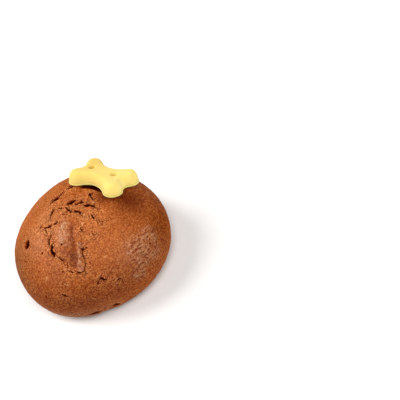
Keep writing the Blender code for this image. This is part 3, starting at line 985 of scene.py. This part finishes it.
def biscuitOutline():
    # a quarter is half the end notch, a lobe and half the waist, all arcs, and the rest mirrors it
    halfLong, halfWide = biscuit["lobeLong"] / 2, biscuit["lobeWide"] / 2
    radius = biscuit["lobeRadius"]

    def joiningRadius(halfGap, valley):
        return (halfGap ** 2 + valley ** 2 - radius ** 2) / (2 * (radius - valley))

    notchRadius = joiningRadius(halfWide, biscuit["notch"])
    waistRadius = joiningRadius(halfLong, biscuit["waist"] - halfWide)
    notchMiddle = (halfLong + biscuit["notch"] + notchRadius, 0.0)
    waistMiddle = (0.0, biscuit["waist"] + waistRadius)
    toNotch = math.atan2(-halfWide, notchMiddle[0] - halfLong)
    toWaist = math.atan2(waistMiddle[1] - halfWide, -halfLong)
    notchSteps, lobeSteps, waistSteps = biscuit["arcSteps"]
    quarter = arcPoints(notchMiddle, notchRadius, math.pi, toNotch + math.pi, notchSteps)
    quarter += arcPoints((halfLong, halfWide), radius, toNotch, toWaist, lobeSteps)
    quarter += arcPoints(waistMiddle, waistRadius, toWaist - math.pi, -math.pi / 2, waistSteps)
    half = quarter + [(0.0, biscuit["waist"])] + [(-x, y) for x, y in reversed(quarter[1:])]
    return half + [(-x, -y) for x, y in half]


def makeBiscuit(biscuitFrame):
    # a filled circle takes the bone's outline, then it is raised and drawn in ring by ring
    outline = biscuitOutline()
    deselectAll()
    bpy.ops.mesh.primitive_circle_add(vertices=len(outline), radius=1.0, fill_type="NGON")
    piece = bpy.context.object
    piece.name = "boneBiscuit"
    for vertex, (x, y) in zip(piece.data.vertices, outline):
        vertex.co = (x, y, 0.0)
    bpy.ops.object.mode_set(mode="EDIT")
    bpy.ops.mesh.select_mode(type="FACE")
    bpy.ops.mesh.select_all(action="SELECT")
    bpy.ops.mesh.extrude_region_move(TRANSFORM_OT_translate={"value": (0.0, 0.0, biscuit["flange"])})
    bpy.ops.mesh.inset(thickness=biscuit["ledge"], use_even_offset=False)
    dome, power = biscuit["thickness"] - biscuit["flange"], biscuit["roundPower"]
    reached, inset = 0.0, 0.0
    for level in biscuit["levels"]:
        drawnIn = (biscuit["rounding"] - biscuit["ledge"]) * (1.0 - (1.0 - level ** power) ** (1 / power))
        bpy.ops.mesh.inset(thickness=drawnIn - inset, use_even_offset=False)
        bpy.ops.transform.translate(value=(0.0, 0.0, dome * (level - reached)))
        reached, inset = level, drawnIn
    bpy.ops.mesh.select_all(action="SELECT")
    bpy.ops.mesh.normals_make_consistent(inside=False)
    bpy.ops.object.mode_set(mode="OBJECT")
    applyModifier(piece, "REMESH", mode="VOXEL", voxel_size=biscuit["fineness"])
    applyModifier(piece, "SMOOTH", factor=0.5, iterations=2)
    shapeBiscuit(piece.data)
    roughen(piece, biscuit["textures"])
    piece.data.transform(biscuitFrame)
    piece.data.update()
    bpy.ops.object.shade_smooth()
    return piece


def shapeBiscuit(mesh):
    # slightly puffed lobes, the two docking holes and the arch of the underside
    points = pointsOf(mesh)
    top = np.clip(points[:, 2] / (biscuit["topFrom"] * biscuit["thickness"]) - 1.0, 0.0, 1.0)
    dimples = np.zeros(len(points))
    for lobeX in (-biscuit["lobeLong"] / 2, biscuit["lobeLong"] / 2):
        for lobeY in (-biscuit["lobeWide"] / 2, biscuit["lobeWide"] / 2):
            away = np.hypot(points[:, 0] - lobeX, points[:, 1] - lobeY)
            puffed = falloff(away, biscuit["crownReach"] * biscuit["lobeRadius"])
            points[:, 2] += top * biscuit["lobeCrown"] * puffed
    for holeX in (-biscuit["holeSpacing"] / 2, biscuit["holeSpacing"] / 2):
        away = np.hypot(points[:, 0] - holeX, points[:, 1])
        flat = biscuit["holeFlat"]
        share = np.clip(flat - flat * (away / biscuit["holeRadius"]) ** 2, 0.0, 1.0)
        points[:, 2] -= top * share * biscuit["holeDepth"]
        dimples = np.maximum(dimples, top * share)
    aboveRim = (points[:, 2] - biscuit["flange"]) / biscuit["ledge"]
    low = np.clip(1.0 - points[:, 2] / (biscuit["archTop"] * biscuit["thickness"]), 0.0, 1.0)
    inside = falloff(points[:, 0], biscuit["archReach"] * biscuit["lobeLong"])
    points[:, 2] += biscuit["arch"] * low * inside
    setPoints(mesh, points)
    # shares where the dimples and the groove are painted as shade and the rim as light
    setAttribute(mesh, "dimple", dimples)
    setAttribute(mesh, "groove", falloff(aboveRim - biscuit["grooveAt"], 1.0))
    setAttribute(mesh, "rim", np.clip(biscuit["rimAt"] - aboveRim, 0.0, 1.0))


def crustPaint():
    paint = Paint("bakedCrust")
    clouds = {name: paint.cloud(*settings) for name, settings in crust["clouds"].items()}
    tone, blotches, streaks = clouds["tone"], clouds["blotches"], clouds["streaks"]
    crumbly, skin, opening = (paint.attribute(name) for name in ("crumbly", "skin", "opening"))

    def ranged(name, value):
        return paint.between(value, *crust["ranges"][name])

    def laid(name, where, shade, blend="MIX"):
        return paint.mixed(where * crust["strengths"][name], colour, crust[shade], blend)

    def grained(where, layers):
        laidOn = colour
        for cloud, low, high, share, shade in crust[layers]:
            there = where * paint.between(clouds[cloud], low, high) * share
            laidOn = paint.mixed(there, laidOn, crust[shade])
        return laidOn

    colour = paint.mixed(ranged("tone", tone), crust["deepBrown"], crust["brown"])
    colour = paint.spotted(colour, crust["paleAndPaintedLightSpots"], crust["paleBrown"])
    colour = paint.spotted(colour, crust["skinSpots"], crust["skin"])
    # the crust beside the cracks, the furrow, darker partly as painted shade in it, and the raised skin
    colour = laid("crumbly", crumbly, "paleBrown")
    colour = laid("furrow", paint.attribute("furrow"), "furrowBrownAndDipShade")
    ofBlotches, ofSkin = crust["blotchesAndSkin"]
    colour = laid("patchy", ranged("patchy", blotches * ofBlotches + skin * ofSkin), "skin")
    colour = grained(skin, "skinGrain")
    # the dull patch with its streaks, and the foot painted paler and greyer as a reflection of the floor
    hazy = ranged("hazy", paint.attribute("streaked") + tone * crust["toneInHaze"])
    colour = laid("hazy", hazy, "skin")
    colour = grained(hazy, "streakGrain")
    colour = laid("foot", ranged("foot", paint.height()) * paint.nearness(*crust["floorSheenSpot"]), "paintedFloorSheen")
    # the grain all over, pale on its bumps and dark in its dips partly as painted light and shade, and the
    # specks
    colour = grained(crumbly * (1.0 - skin), "crackGrain")
    low = ranged("low", paint.height()) * ranged("lowest", paint.height())
    more = crust["grainMore"]
    grainy = crumbly * more["crumbly"] + crust["grainEverywhere"] - skin * more["skin"] + low * more["low"]
    colour = grained(grainy, "grain")
    for size, radius, share, strength, shade in crust["specks"]:
        colour = paint.mixed(paint.specks(size, radius, share) * strength, colour, crust[shade])
    # broad darker places, mostly painted shade, a painted grey sheen at the left limb, flakes, painted
    # shade low on the side, and the dark of the openings and the painted shadow under the biscuit
    colour = paint.spotted(colour, crust["darkAndPaintedShadeSpots"], crust["darkAndPaintedShadeTint"], "MULTIPLY")
    colour = paint.spotted(colour, crust["paintedSheenSpots"], crust["paintedSheenTint"], "MULTIPLY")
    colour = laid("flake", paint.attribute("flake"), "speck")
    colour = laid("low", low, "paintedLowShade", "MULTIPLY")
    colour = laid("crackEdge", ranged("crackEdge", opening), "crackEdge")
    # the crust under the biscuit's near edge is painted dark as its shadow
    hollowShadow = ranged("hollow", paint.attribute("hollow"))
    for dark in (ranged("inside", opening), hollowShadow):
        colour = paint.mixed(dark, colour, crust["inside"])
    paint.feed("Base Color", colour)
    # a soft gloss, but not in the openings nor at the dull spot
    shiny = ranged("shiny", opening + hollowShadow) * (1.0 - paint.nearness(*crust["dullSpot"]))
    paint.feed("Coat Weight", shiny * crust["gloss"])
    paint.feed("Roughness", ranged("roughness", tone))
    paint.constants(crust["shader"])
    heights = clouds["pebble"] * crust["bumps"]["pebble"]
    for name, height in (("grain", clouds["grain"]), ("wrinkles", clouds["wrinkles"] * crumbly),
                         ("streaks", hazy * streaks), ("blotches", skin * blotches)):
        heights = heights + height * crust["bumps"][name]
    paint.feed("Normal", paint.bump(heights, crust["bumpDistance"]))
    return paint.material


def biscuitPaint():
    paint = Paint("yellowBiscuit")

    def golden(cloud, setting):
        # the golden yellow shows where a noise is high
        low, high, share = biscuit[setting]
        return paint.mixed(paint.between(cloud, low, high) * share, colour, biscuit["goldenYellow"])

    colour = biscuit["yellow"]
    colour = golden(paint.cloud(biscuit["toneSize"]), "tone")
    colour = paint.spotted(colour, biscuit["paleAndPaintedLightSpots"], biscuit["paintedLightYellow"])
    colour = paint.spotted(colour, biscuit["goldenPaintedShadeSpots"], biscuit["goldenYellow"])
    grain = paint.cloud(biscuit["grainSize"], 3.0, 0.6)
    colour = golden(grain, "grain")
    for part, share, shade in biscuit["parts"]:
        colour = paint.mixed(paint.attribute(part) * share, colour, biscuit[shade])
    paint.feed("Base Color", colour)
    paint.constants(biscuit["shader"])
    paint.feed("Normal", paint.bump(grain, *biscuit["bump"]))
    return paint.material


def finishPiece(piece, material, node):
    piece.data.materials.clear()
    piece.data.materials.append(material)
    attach(piece, "root")
    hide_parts(node)
    triangles = sum(len(polygon.vertices) - 2 for polygon in piece.data.polygons)
    print(piece.name, "made with", triangles, "triangles")


cameraPlace, cameraTurn = makeCamera()
makeStudio()
print("camera, floor and lights stand")
biscuitFrame = frameOfBiscuit(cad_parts["bone_biscuit"])
finishPiece(makeMuffin(cameraPlace, cameraTurn, biscuitFrame), crustPaint(), "muffin")
finishPiece(makeBiscuit(biscuitFrame), biscuitPaint(), "bone_biscuit")
